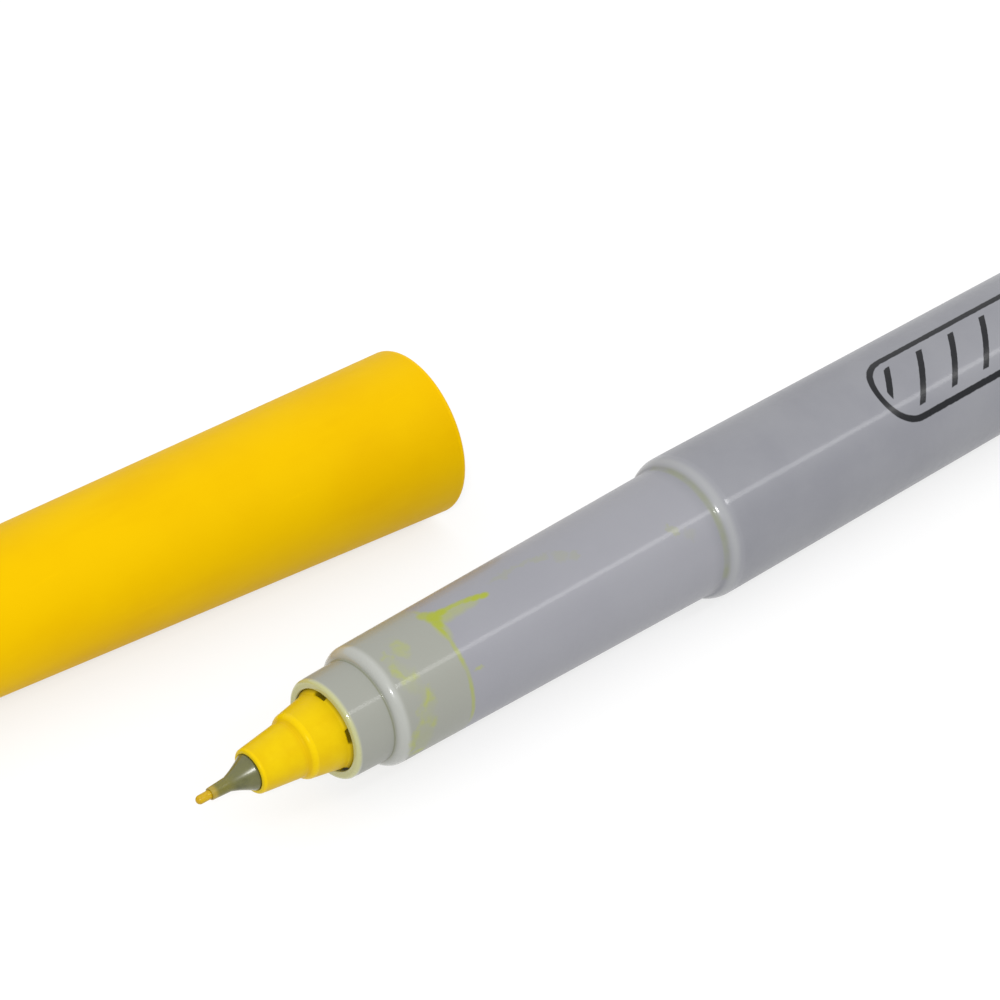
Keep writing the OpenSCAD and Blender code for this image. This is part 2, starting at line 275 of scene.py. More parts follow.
class Look:
    """A Principled material with helpers for its procedural detail, in millimetres."""

    def __init__(self, name, roughness, specular, **settings):
        self.material = bpy.data.materials.new(name)
        self.material.use_nodes = True
        self.tree = self.material.node_tree
        self.bsdf = self.tree.nodes["Principled BSDF"]
        self.bsdf.inputs["Roughness"].default_value = roughness
        self.bsdf.inputs["Specular IOR Level"].default_value = specular
        for socket, value in settings.items():
            self.bsdf.inputs[socket.replace("_", " ")].default_value = value
        metres = self.tree.nodes.new("ShaderNodeTexCoord").outputs["Object"]
        scaled = self.tree.nodes.new("ShaderNodeVectorMath")
        scaled.operation = "SCALE"
        self.link(metres, scaled.inputs[0])
        scaled.inputs["Scale"].default_value = 1 / MM
        self.place = scaled.outputs["Vector"]
        parts = self.tree.nodes.new("ShaderNodeSeparateXYZ")
        self.link(self.place, parts.inputs[0])
        self.x, self.y, self.z = parts.outputs
        self.height = None

    def link(self, a, b):
        """Feeds a number, a colour or another node's output into a socket."""
        if isinstance(a, (int, float)):
            b.default_value = a
        elif isinstance(a, tuple):
            b.default_value = (*a, 1.0)
        else:
            self.tree.links.new(a, b)

    def math(self, operation, a, b=0.0, clamp=False):
        node = self.tree.nodes.new("ShaderNodeMath")
        node.operation = operation
        node.use_clamp = clamp
        for value, socket in zip((a, b), node.inputs):
            self.link(value, socket)
        return node.outputs[0]

    def times(self, a, b):
        return self.math("MULTIPLY", a, b)

    def plus(self, a, b, clamp=False):
        return self.math("ADD", a, b, clamp)

    def minus(self, a, b, clamp=False):
        return self.math("SUBTRACT", a, b, clamp)

    def most(self, a, b):
        return self.math("MAXIMUM", a, b)

    def line(self, value, gain, base, clamp=False):
        """The value times a gain, plus a base."""
        return self.plus(self.times(value, gain), base, clamp)

    def length(self, a, b):
        """The length of the line that goes a one way and b square to it."""
        return self.math("SQRT", self.plus(self.times(a, a), self.times(b, b)))

    def fade(self, value, start, end):
        """0 where value is at start, 1 where it is at end, smooth between them."""
        node = self.tree.nodes.new("ShaderNodeMapRange")
        node.interpolation_type = "SMOOTHSTEP"
        self.link(value, node.inputs["Value"])
        node.inputs["From Min"].default_value = start
        node.inputs["From Max"].default_value = end
        return node.outputs["Result"]

    def band(self, value, centre, half, soft):
        """1 within half of the centre, fading to 0 over soft."""
        off = self.math("ABSOLUTE", self.minus(value, centre))
        return self.fade(off, half + soft, half)

    def noise(self, scale, detail, stretch=None, seed=0.0, rough=0.55):
        """Noise from 0 to 1 with about scale features to a millimetre."""
        place = self.place
        if stretch or seed:
            node = self.tree.nodes.new("ShaderNodeMapping")
            self.link(place, node.inputs["Vector"])
            node.inputs["Scale"].default_value = stretch or (1, 1, 1)
            node.inputs["Location"].default_value = (seed * 7.1, seed * 3.7, seed * 5.3)
            place = node.outputs["Vector"]
        node = self.tree.nodes.new("ShaderNodeTexNoise")
        self.link(place, node.inputs["Vector"])
        node.inputs["Scale"].default_value = scale
        node.inputs["Detail"].default_value = detail
        node.inputs["Roughness"].default_value = rough
        return node.outputs["Fac"]

    def patches(self, start, end, scale, detail, **settings):
        """Soft patches: 0 where the noise is at start, 1 where it is at end."""
        return self.fade(self.noise(scale, detail, **settings), start, end)

    def mix(self, colour, other, mask, strength=1.0):
        """The colour, turned into the other one where the mask is 1, at most by the strength."""
        amount = mask if strength == 1.0 else self.times(mask, strength)
        node = self.tree.nodes.new("ShaderNodeMix")
        node.data_type = "RGBA"
        self.link(amount, node.inputs[0])
        self.link(colour, node.inputs[6])
        self.link(other, node.inputs[7])
        return node.outputs[2]

    def attribute(self, name):
        node = self.tree.nodes.new("ShaderNodeAttribute")
        node.attribute_name = name
        return node.outputs["Fac"]

    def around(self):
        """Angle round the X axis in degrees: 0 straight up, 90 towards -Y."""
        return self.times(self.math("ARCTAN2", self.times(self.y, -1.0), self.z), math.degrees(1))

    def raise_by(self, height):
        """Adds to the surface's height in millimetres, for the bump."""
        self.height = height if self.height is None else self.plus(self.height, height)

    def done(self, colour, roughness=None):
        """Feeds the shader and returns the finished material."""
        self.link(colour, self.bsdf.inputs["Base Color"])
        if roughness is not None:
            self.link(roughness, self.bsdf.inputs["Roughness"])
        if self.height is not None:
            bump = self.tree.nodes.new("ShaderNodeBump")
            self.link(self.height, bump.inputs["Height"])
            bump.inputs["Distance"].default_value = MM
            self.link(bump.outputs["Normal"], self.bsdf.inputs["Normal"])
        return self.material


def srgb(r, g, b):
    """The colour of a surface that looks like this, from 0 to 255, under the studio lights."""
    def linear(v):
        v /= 255
        return v / 12.92 if v <= 0.04045 else ((v + 0.055) / 1.055) ** 2.4
    return tuple(linear(v) / STUDIO_LIGHT for v in (r, g, b))


def shade(colour, factor):
    return tuple(min(1.0, c * factor) for c in colour)


def moulded(look, light, dark, cloud, rough, grain=0.004, seed=0.0):
    """Moulded plastic: cloudy colour, fine grain, faint long scuffs, specks and pale worn edges.
    Returns its colour and roughness."""
    fine = look.noise(9.0, 2.0, seed=seed + 1)
    pores = look.noise(2.2, 3.0, seed=seed + 2)
    scuffs = look.patches(0.62, 0.78, 1.6, 3.0, stretch=(0.05, 1.4, 1.4), seed=seed + 3)
    specks = look.patches(0.8, 0.88, 3.4, 1.0, seed=seed + 4)
    edge = look.attribute("edge")
    colour = look.mix(light, dark, look.patches(0.35, 0.7, cloud, 4.0, seed=seed))
    colour = look.mix(colour, shade(dark, 0.8), specks, 0.35)
    colour = look.mix(colour, shade(light, 1.12), scuffs, 0.16)
    colour = look.mix(colour, shade(light, 1.15), edge, 0.5)
    look.raise_by(look.times(fine, grain))
    look.raise_by(look.times(pores, grain * 1.5))
    look.raise_by(look.times(scuffs, -grain * 0.6))
    roughness = look.line(pores, 0.16, rough - 0.08)
    roughness = look.plus(roughness, look.times(scuffs, 0.08))
    roughness = look.minus(roughness, look.times(edge, rough * 0.35), clamp=True)
    return colour, roughness


def spots(look, x, around, places, soft):
    """The strongest of several soft ellipses (x, degrees, half length, half angle, strength)."""
    total = None
    for place_x, degrees, half_x, half_degrees, strength in places:
        dx = look.times(look.minus(x, place_x), 1 / half_x)
        da = look.times(look.minus(around, degrees), 1 / half_degrees)
        far = look.plus(look.times(dx, dx), look.times(da, da))
        spot = look.times(look.fade(far, 1.0 + soft, 1.0 - soft), strength)
        total = spot if total is None else look.most(total, spot)
    return total


def uneven(look, scale, seed):
    """Noise from -0.5 to 0.5, for marks with uneven edges."""
    return look.minus(look.noise(scale, 4.0, seed=seed, rough=0.65), 0.5)


# ---- colours and marks ----

GREY = srgb(149, 150, 156)
GREY_DARK = srgb(142, 143, 150)
# Painted highlight colour for the rounded shoulder and rim
GREY_PAINTED_HIGHLIGHT = srgb(206, 208, 204)
GREY_NOSE = srgb(164, 164, 171)
GREY_GREENISH = srgb(163, 165, 150)
PLUG_GREY = srgb(164, 164, 168)
PLUG_GREY_DARK = srgb(154, 154, 160)
INK = srgb(168, 178, 20)
INK_PALE = srgb(172, 180, 82)
INK_WISP = srgb(160, 166, 96)
INK_AGED = srgb(188, 158, 92)
STAINED_RIM = srgb(146, 152, 112)
STAINED_LIP = srgb(208, 208, 136)
STAINED_AND_SHADED_ROOT = srgb(116, 120, 78)
# Ink stain with painted shade, for the shoulder's concave root
PRINT_BLACK = srgb(6, 9, 17)
CAP_YELLOW = srgb(248, 200, 0)
CAP_YELLOW_DARK = srgb(243, 192, 0)
CAP_FLOW = srgb(232, 178, 0)
SEAL_YELLOW = srgb(244, 220, 96)
SEAL_YELLOW_DARK = srgb(232, 204, 76)
HOLDER_YELLOW = srgb(242, 206, 8)
HOLDER_YELLOW_DARK = srgb(234, 194, 4)
# Painted shade for the concave foot of the holder's step
HOLDER_STEP_SHADE = srgb(222, 172, 0)
HOLDER_RIM = srgb(214, 190, 20)
# Ink with painted shade, where the holder enters the collar and in its vents
HOLDER_SEAM_INK_AND_SHADE = srgb(150, 130, 20)
DRIED_INK_AND_SHADE_IN_VENT = srgb(74, 56, 14)
OLIVE = srgb(106, 106, 56)
OLIVE_DARK = srgb(80, 82, 30)
AMBER = srgb(118, 112, 14)
SLEEVE_END = srgb(190, 160, 24)
NIB_GOLD = srgb(218, 182, 10)
NIB_PORES = srgb(196, 150, 14)
NIB_RUBBED = srgb(206, 160, 22)
WICK, WICK_DARK = srgb(232, 220, 120), srgb(206, 190, 84)
CORE, CORE_DARK = srgb(240, 228, 120), srgb(216, 200, 84)
FILM, FILM_CREASE = srgb(242, 240, 214), srgb(226, 222, 170)

# The ring that the cap's seal left, and the soft spots that make up the other ink marks on the nose:
# x, degrees from the top towards -Y, half length, half angle, strength
RING_X = -23.3
SMEARS = [
    (-27.6, 24.0, 0.5, 12.0, 0.7), (-27.2, 42.0, 0.6, 14.0, 0.8), (-26.6, 62.0, 0.5, 12.0, 0.8),
    (-27.0, 82.0, 0.7, 14.0, 0.8), (-27.4, 106.0, 0.8, 18.0, 1.0), (-26.4, 10.0, 0.6, 12.0, 0.5),
    (-22.5, 62.0, 0.5, 2.5, 0.6),
]
WISPS = [
    (-16.9, -2.0, 1.2, 4.0, 0.5), (-15.3, -2.0, 0.9, 3.0, 0.5), (-13.9, 2.5, 0.8, 4.0, 0.6),
    (-12.8, 11.0, 0.5, 5.0, 0.5), (-12.0, 17.5, 0.5, 4.0, 0.5), (-4.7, 39.4, 0.45, 4.0, 0.9),
    (-3.6, 50.0, 0.5, 4.0, 0.3),
]
DROP = [
    (-23.3, -6.0, 0.45, 6.0, 0.8), (-23.0, 1.0, 0.55, 8.0, 1.0), (-23.15, 9.0, 0.35, 7.0, 0.9),
    (-22.4, 0.5, 0.6, 4.0, 1.0), (-21.7, 0.5, 0.7, 2.4, 0.75), (-20.9, 1.4, 0.7, 2.2, 0.7),
    (-20.2, 3.2, 0.5, 2.8, 0.85), (-19.7, 5.4, 0.45, 3.2, 1.0), (-19.2, 7.6, 0.4, 3.2, 1.0),
]
VEIL = [
    (-22.4, 5.0, 0.9, 8.0, 0.6), (-21.4, 5.5, 1.0, 7.0, 0.5), (-20.4, 7.0, 0.7, 5.5, 0.45),
    (-23.2, 16.0, 0.4, 12.0, 0.5),
]

# The printed bar: where it lies along the barrel and round it, then its half width, stroke and hatching
PRINT_START, PRINT_END, PRINT_TURN = 18.6, 56.0, 29.0
PRINT_HALF, PRINT_STROKE, PRINT_PITCH, PRINT_SLANT = 2.6, 0.2, 3.4, 0.8
PRINT_SOFT, PRINT_GAP = 0.08, 0.75


# ---- materials ----

def ring_mark(look, around, wave):
    """The thin line that the cap's seal left, heavier in some places than in others."""
    patchy = look.patches(0.3, 0.62, 0.5, 2.0, seed=9.0)
    ring = look.band(look.plus(look.x, look.times(wave, 0.25)), RING_X, 0.04, 0.2)
    reach = look.times(look.fade(around, -24.0, -14.0), look.fade(around, 122.0, 100.0))
    upper = look.line(look.fade(around, 90.0, 40.0), 0.3, 0.7)
    strength = look.times(look.line(patchy, 0.45, 0.4), upper)
    return look.times(ring, look.times(reach, strength))


def stained(look, colour, x, turn):
    """Old ink ahead of the ring, along the nose's top and on its edges, with ink and painted shade in the
    shoulder's root.
    """
    colour = look.mix(colour, GREY_GREENISH, look.fade(look.x, RING_X + 0.2, RING_X - 0.3), 0.75)
    streak = look.times(look.band(turn, -46.0, 2.0, 18.0), look.band(x, -24.0, 3.0, 6.0))
    blotches = look.line(look.patches(0.35, 0.65, 0.5, 4.0, seed=17.0), 0.6, 0.25)
    colour = look.mix(colour, INK_AGED, look.times(streak, blotches), 0.7)
    corner = look.times(look.band(look.x, -1.2, 0.05, 0.3), look.band(turn, 36.0, 62.0, 12.0))
    patchy = look.line(look.patches(0.3, 0.6, 0.6, 3.0, seed=8.0), 0.6, 0.4)
    colour = look.mix(colour, STAINED_RIM, look.times(corner, patchy), 0.55)
    colour = look.mix(colour, STAINED_LIP, look.fade(look.x, COLLAR_X + 0.35, COLLAR_X + 0.05), 0.8)
    # Ink stain and painted shade in the concave root of the shoulder
    return look.mix(colour, STAINED_AND_SHADED_ROOT, look.band(look.x, SHOULDER_X - 0.02, 0.02, 0.1), 0.6)


def smeared(look, colour, x, turn):
    """Pale smears behind the shoulder and faint wisps further back."""
    off_line = look.math("ABSOLUTE", look.minus(look.noise(0.42, 3.0, seed=7.0), 0.5))
    veins = look.line(look.fade(off_line, 0.09, 0.0), 0.7, 0.22)
    colour = look.mix(colour, INK_PALE, look.times(spots(look, x, turn, SMEARS, 0.95), veins))
    return look.mix(colour, INK_WISP, spots(look, x, turn, WISPS, 0.9), 0.4)


def printed_bar(look, around):
    """Where ink lies on the hatched bar that stands in for the real barrel's print."""
    ragged = look.times(look.minus(look.noise(3.0, 3.0, seed=12.0), 0.5), 0.1)
    across = look.plus(look.times(around, math.radians(BARREL_R)), ragged)
    side = look.minus(across, math.radians(PRINT_TURN) * BARREL_R)
    past = look.most(look.minus(PRINT_START, look.x), look.minus(look.x, PRINT_END))
    reach = look.length(side, look.most(past, 0.0))
    outline = look.band(reach, PRINT_HALF, PRINT_STROKE, PRINT_SOFT)
    slanted = look.plus(look.x, look.times(side, PRINT_SLANT))
    to_line = look.math("PINGPONG", slanted, PRINT_PITCH / 2)
    hatch = look.fade(to_line, PRINT_STROKE * 1.7, PRINT_STROKE * 1.4)
    inside = look.fade(reach, PRINT_HALF - PRINT_GAP, PRINT_HALF - PRINT_GAP - PRINT_SOFT)
    ink = look.most(outline, look.times(hatch, inside))
    pinholes = look.patches(0.68, 0.74, 2.6, 3.0, seed=14.0)
    worn = look.times(look.patches(0.6, 0.75, 0.35, 4.0, seed=15.0), pinholes)
    return look.minus(ink, look.times(worn, 0.8), clamp=True)


def barrel_look():
    """Grey plastic with the marks of use on its nose, painted highlights on its shoulder and rim, painted
    shade in the shoulder's root and a plain hatched bar on its grip.
    """
    look = Look("barrel_plastic", 0.42, 0.2, Coat_Roughness=0.1)
    colour, roughness = moulded(look, GREY, GREY_DARK, cloud=0.16, rough=0.42)
    colour = look.mix(colour, GREY_NOSE, look.fade(look.x, -1.0, -2.5), 0.6)
    around = look.around()
    wave = uneven(look, 0.9, seed=5.0)
    x = look.plus(look.x, look.times(wave, 1.5))
    turn = look.plus(around, look.times(uneven(look, 1.3, seed=6.0), 24.0))
    colour = stained(look, colour, x, turn)

    # Painted highlight: the rounded shoulder and rim are lightened where they catch the light
    shoulder_painted_highlight = look.times(look.band(look.x, SHOULDER_X + 0.38, 0.12, 0.36), 0.46)
    rim_painted_highlight = look.times(look.band(look.x, -0.68, 0.02, 0.5), 0.26)
    colour = look.mix(colour, GREY_PAINTED_HIGHLIGHT, look.most(shoulder_painted_highlight, rim_painted_highlight))
    colour = smeared(look, colour, x, turn)

    # Fresh ink: a pale veil, then the ring and the drop that ran back from its top
    colour = look.mix(colour, INK_PALE, spots(look, look.x, around, VEIL, 0.95))
    fresh = look.most(ring_mark(look, around, wave), spots(look, look.x, around, DROP, 0.8))
    colour = look.mix(colour, INK, fresh, 0.93)
    look.raise_by(look.times(fresh, 0.02))

    printed = printed_bar(look, around)
    colour = look.mix(colour, PRINT_BLACK, printed, 0.99)
    look.raise_by(look.times(printed, 0.012))
    roughness = look.minus(roughness, look.times(look.most(printed, fresh), 0.12), clamp=True)
    coat = look.line(look.attribute("edge"), 0.9, 0.2, clamp=True)
    bare = look.minus(1.0, look.times(printed, 0.75))
    look.link(look.times(coat, bare), look.bsdf.inputs["Coat Weight"])
    return look.done(colour, roughness)


def cap_look():
    """Saturated yellow plastic with long flow marks."""
    look = Look("cap_plastic", 0.5, 0.05, Specular_Tint=(1.0, 0.85, 0.2, 1.0))
    colour, roughness = moulded(look, CAP_YELLOW, CAP_YELLOW_DARK, 0.07, 0.52, grain=0.003, seed=20.0)
    flow = look.patches(0.5, 0.8, 0.35, 3.0, stretch=(0.25, 1.0, 1.0), seed=24.0)
    colour = look.mix(colour, CAP_FLOW, flow, 0.25)
    return look.done(colour, roughness)


def holder_look():
    """Yellow plastic, with dried ink and painted shade in the vents and against the collar, and painted shade
    at the foot of its step.
    """
    look = Look("holder_plastic", 0.4, 0.12, Specular_Tint=(1.0, 0.9, 0.3, 1.0))
    colour, roughness = moulded(look, HOLDER_YELLOW, HOLDER_YELLOW_DARK, 0.4, 0.42, grain=0.003, seed=30.0)
    # Dried ink and painted shade darken the floors of the vent slots
    deep = look.fade(look.length(look.y, look.z), 2.72, 2.5)
    vent_ink_and_shade = look.times(deep, look.fade(look.x, VENT_FRONT_X - 0.1, VENT_FRONT_X + 0.05))
    colour = look.mix(colour, DRIED_INK_AND_SHADE_IN_VENT, vent_ink_and_shade, 0.9)
    # Ink grime and painted shade where the holder goes into the collar
    colour = look.mix(colour, HOLDER_SEAM_INK_AND_SHADE, look.fade(look.x, COLLAR_X - 0.12, COLLAR_X + 0.1), 0.7)
    # Painted shade at the concave foot of the step
    colour = look.mix(colour, HOLDER_STEP_SHADE, look.band(look.x, STEP_X - 0.6, 0.04, 0.3), 0.35)
    colour = look.mix(colour, HOLDER_RIM, look.fade(look.x, HOLDER_X + 0.12, HOLDER_X - 0.02), 0.5)
    return look.done(colour, roughness)


def sleeve_look():
    """Olive plastic that ink shows through towards the nib."""
    look = Look(
        "sleeve_plastic", 0.3, 0.3, Coat_Weight=0.5, Coat_Roughness=0.3,
        Subsurface_Weight=0.15, Subsurface_Radius=(0.6 * MM, 0.6 * MM, 0.3 * MM),
    )
    clouds = look.noise(0.9, 3.0, seed=41.0)
    colour = look.mix(OLIVE, OLIVE_DARK, look.fade(clouds, 0.4, 0.75))
    colour = look.mix(colour, AMBER, look.fade(look.x, CONE_X + 0.5, CONE_X - 0.3), 0.8)
    colour = look.mix(colour, SLEEVE_END, look.fade(look.x, SLEEVE_X + 0.55, SLEEVE_X + 0.15), 0.75)
    look.raise_by(look.times(look.noise(8.0, 2.0, seed=42.0), 0.003))
    return look.done(colour, look.line(clouds, 0.15, 0.2))


def nib_look():
    """Porous golden plastic, wet with ink and a little rubbed at its end."""
    look = Look("nib_plastic", 0.32, 0.1, Coat_Weight=0.2, Coat_Roughness=0.1)
    pores = look.noise(14.0, 3.0, seed=51.0)
    colour = look.mix(NIB_GOLD, NIB_PORES, look.fade(pores, 0.42, 0.66))
    colour = look.mix(colour, NIB_RUBBED, look.fade(look.x, NIB_X + 0.35, NIB_X), 0.5)
    look.raise_by(look.times(pores, 0.012))
    return look.done(colour, look.line(pores, 0.2, 0.22))


def plug_look():
    """Plain grey plastic."""
    look = Look("plug_plastic", 0.5, 0.4)
    return look.done(*moulded(look, PLUG_GREY, PLUG_GREY_DARK, 0.3, 0.5, seed=60.0))


def seal_look():
    """Soft pale yellow plastic, stained with ink."""
    look = Look("seal_plastic", 0.45, 0.3)
    colour, roughness = moulded(look, SEAL_YELLOW, SEAL_YELLOW_DARK, 0.3, 0.45, seed=70.0)
    colour = look.mix(colour, INK, look.patches(0.5, 0.7, 0.5, 4.0, seed=74.0), 0.4)
    return look.done(colour, roughness)


def fibre_look(name, light, dark, seed):
    """Bonded fibres that run along the barrel, soaked with ink."""
    look = Look(name, 0.75, 0.25)
    strands = look.noise(4.0, 4.0, stretch=(0.04, 1.0, 1.0), seed=seed)
    colour = look.mix(light, dark, look.fade(strands, 0.4, 0.65))
    colour = look.mix(colour, INK_PALE, look.patches(0.35, 0.7, 0.2, 3.0, seed=seed + 1), 0.45)
    look.raise_by(look.times(strands, 0.06))
    return look.done(colour, look.line(strands, 0.2, 0.6))


def film_look():
    """Thin clear wrap with long creases."""
    look = Look("wrap_film", 0.18, 0.5, Transmission_Weight=0.35)
    creases = look.noise(0.7, 3.0, stretch=(0.12, 1.0, 1.0), seed=81.0)
    look.raise_by(look.times(creases, 0.05))
    colour = look.mix(FILM, FILM_CREASE, look.fade(creases, 0.4, 0.7))
    return look.done(colour, look.line(creases, 0.15, 0.1))


# ---- the marker ----

def ribbed(x, r, degrees):
    """The barrel's bore narrows to the ribs that hold the reservoir."""
    inside = abs(r - BORE_R) < 0.02 and NOSE_BORE_REAR_X < x <= RIB_REAR_X
    return NOSE_BORE_R if inside and near_multiple(degrees, RIB_COUNT, 0.0, RIB_HALF_ANGLE) else r


def barrel_profile():
    """From the collar's lip over the nose, rim and grip to the tail, and back through the bores."""
    shoulder_centre = (SHOULDER_X + SHOULDER_ROUND, NOSE_FRONT_R - SHOULDER_ROUND)
    start = 180 - math.degrees(math.asin((COLLAR_REAR_R - shoulder_centre[1]) / SHOULDER_ROUND))
    return [
        (COLLAR_X, COLLAR_FRONT_R, 0.25),
        *arc(shoulder_centre, SHOULDER_ROUND, start, 90, 14),
        *step_curve(NOSE_REAR_R, BARREL_R, 0.0, RIM_ROUND, RIM_FILLET),
        (GRIP_END_X, BARREL_R), (BARREL_TAIL_X, TAIL_R, 0.38), (BARREL_TAIL_X, BORE_R, 0.05),
        (RIB_REAR_X + 0.02, BORE_R), (RIB_REAR_X, BORE_R),
        (NOSE_BORE_REAR_X + 0.01, BORE_R), (NOSE_BORE_REAR_X, NOSE_BORE_R),
        (WEB_REAR_X, NOSE_BORE_R), (WEB_REAR_X, WEB_BORE_R),
        (HOLDER_SEAT_X, WEB_BORE_R), (HOLDER_SEAT_X, COLLAR_BORE_R),
        (COLLAR_X, COLLAR_BORE_R, 0.12),
    ]


def plug_profile():
    """From the hollow inside to the tail's face, which has a shallow groove and a gate mark."""
    floor_x, front_x = BARREL_TAIL_X - PLUG_FLOOR, BARREL_TAIL_X - PLUG_DEPTH
    groove_x, gate_x = PLUG_FACE_X - PLUG_GROOVE_DEPTH, PLUG_FACE_X - GATE_MARK_DEPTH
    return [
        (floor_x, 0.0), (floor_x, PLUG_HOLLOW_R), (front_x, PLUG_HOLLOW_R, 0.2), (front_x, PLUG_R, 0.3),
        (BARREL_TAIL_X, PLUG_R), (BARREL_TAIL_X, PLUG_FLANGE_R, 0.05), (PLUG_FACE_X, PLUG_FLANGE_R, 0.4),
        (PLUG_FACE_X, PLUG_GROOVE_R + 0.12, 0.03), (groove_x, PLUG_GROOVE_R + 0.08, 0.03),
        (groove_x, PLUG_GROOVE_R - 0.08, 0.03), (PLUG_FACE_X, PLUG_GROOVE_R - 0.12, 0.03),
        (PLUG_FACE_X, GATE_MARK_R + 0.05, 0.04), (gate_x, GATE_MARK_R - 0.05, 0.04), (gate_x, 0.0),
    ]


def vented(x, r, degrees):
    """The holder's radius drops to the floor of the slots."""
    outside = r > VENT_FLOOR_R and VENT_FRONT_X < x < HOLDER_SEAT_X
    cut = outside and near_multiple(degrees, VENT_COUNT, VENT_PHASE, VENT_HALF_ANGLE)
    return VENT_FLOOR_R if cut else r


def holder_profile():
    """From the front rim over the step and the flare to the stem in the collar, and back through the bore."""
    front_r, low_r, high_r, stem_r = 1.49, 1.87, 2.22, 2.78
    flare_x, flare_r, flare_len = COLLAR_X - 0.1, 2.57, 0.25
    bore_r, socket_r = 1.02, 1.22
    flare_slope = (stem_r - flare_r) / flare_len
    vent_x = (VENT_FRONT_X, VENT_FRONT_X + 0.02)
    return [
        (HOLDER_X, front_r, 0.2), *step_curve(low_r, high_r, STEP_X, 0.5, 0.3),
        (flare_x, flare_r), *[(x, flare_r + (x - flare_x) * flare_slope) for x in vent_x],
        (flare_x + flare_len, stem_r), (HOLDER_SEAT_X - 0.02, stem_r), (HOLDER_SEAT_X, stem_r),
        (HOLDER_SEAT_X, bore_r), (SLEEVE_REAR_X, bore_r),
        (SLEEVE_REAR_X, socket_r), (HOLDER_X, socket_r, 0.05),
    ]


def sleeve_profile():
    """From the thin tube over the bowed cone to the part inside the holder, and back through the bore."""
    tube_r, cone_front_r, cone_rear_r, body_r, bore_r = 0.4, 0.48, 1.23, 1.2, 0.31
    bow, steps = 0.3, 14
    cone = []
    for k in range(steps + 1):
        t = k / steps
        rise = (cone_rear_r - cone_front_r) * ((1 - bow) * t + bow * t ** 2)
        cone.append((CONE_X + (HOLDER_X - CONE_X) * t, cone_front_r + rise))
    return [
        (SLEEVE_X, tube_r, 0.03), *cone, (HOLDER_X, body_r), (SLEEVE_REAR_X, body_r, 0.1),
        (SLEEVE_REAR_X, bore_r), (SLEEVE_X, bore_r, 0.03),
    ]


def nib_profile():
    """A round end and a straight rod."""
    return [*arc((NIB_X + NIB_R, 0.0), NIB_R, 180, 90, 14), (NIB_REAR_X, NIB_R, 0.05), (NIB_REAR_X, 0.0)]


lathe("barrel_shell", barrel_profile(), "marker", ["barrel"], barrel_look(), True, ribbed)
lathe("tail_plug", plug_profile(), "marker", ["end_plug"], plug_look())
lathe("holder_cone", holder_profile(), "marker", ["nib_holder"], holder_look(), True, vented)
lathe("sleeve_tube", sleeve_profile(), "marker", ["nib_sleeve"], sleeve_look(), True)
lathe("nib_point", nib_profile(), "marker", ["nib"], nib_look())

# The pieces inside the barrel keep their CAD meshes
INSIDE = {
    "feed_wick": fibre_look("wick_fibre", WICK, WICK_DARK, 90.0),
    "reservoir_core": fibre_look("core_fibre", CORE, CORE_DARK, 94.0),
    "reservoir_wrap": film_look(),
}
for node, material in INSIDE.items():
    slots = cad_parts[node].data.materials
    slots.clear()
    slots.append(material)


# ---- the cap ----

def cap_inner(c):
    """The radius inside the cap's wall, at a distance from its mouth."""
    return CAP_R - CAP_WALL - CAP_SLOPE * c


def cap_profile():
    """From the shallow dish in the closed end over the outside to the mouth, and back through the bore."""
    dish_x = CAP_DISH_DEPTH - CAP_LEN
    bore_end = CAP_LEN - CAP_END_WALL
    return [
        (dish_x, 0.0), (dish_x, CAP_DISH_R, 0.2), (-CAP_LEN, CAP_DISH_R, 0.15),
        (-CAP_LEN, CAP_R - CAP_SLOPE * CAP_LEN, CAP_END_ROUND), (0.0, CAP_R, 0.35),
        (0.0, cap_inner(0.0), 0.15), (-bore_end, cap_inner(bore_end), 0.3), (-bore_end, 0.0),
    ]


def seal_profile():
    """From the closed end along the cap's wall to the lip, then the throat and the chamber for the nib."""
    chamber_end = SEAL_END - SEAL_FLOOR
    return [
        (-SEAL_END, 0.0), (-SEAL_END, cap_inner(SEAL_END) - SEAL_GAP, 0.2),
        (-SEAL_START, cap_inner(SEAL_START) - SEAL_GAP, 0.08), (-SEAL_START, SEAL_LIP_R, 0.08),
        (-SEAL_THROAT, SEAL_THROAT_R, 0.2), (-SEAL_THROAT - 0.5, SEAL_CHAMBER_R, 0.2),
        (-chamber_end, SEAL_CHAMBER_R, 0.3), (-chamber_end, 0.0),
    ]


def crown(half_width, top, at):
    """How far the clip's curved top lies above the cap's axis, at a place across it."""
    return top - CLIP_TOP + math.sqrt(CLIP_TOP ** 2 - (at * half_width) ** 2)


def section(c, half_width, low, top):
    """One ring across the clip or its block: c along the cap, then across it and out from its axis."""
    side_top = crown(half_width, top, 1.0)
    soft = min(0.22, half_width * 0.4, (side_top - low) * 0.4)
    curved_top = [(half_width * at, crown(half_width, top, at)) for at in (0.6, 0.3, 0.0, -0.3, -0.6)]
    outline = [
        (-half_width, low, soft), (half_width, low, soft), (half_width, side_top, soft),
        *curved_top, (-half_width, side_top, soft),
    ]
    return [Vector((-c, across, out)) for across, out in rounded(outline, 4)]


def root_ring(turn):
    """A ring of the clip's rounded root."""
    half = CLIP_HALF_T * math.cos(turn)
    c = CLIP_HINGE + CLIP_HALF_T * math.sin(turn)
    return section(c, CLIP_ROOT_W, CLIP_HINGE_R - half, CLIP_HINGE_R + half)


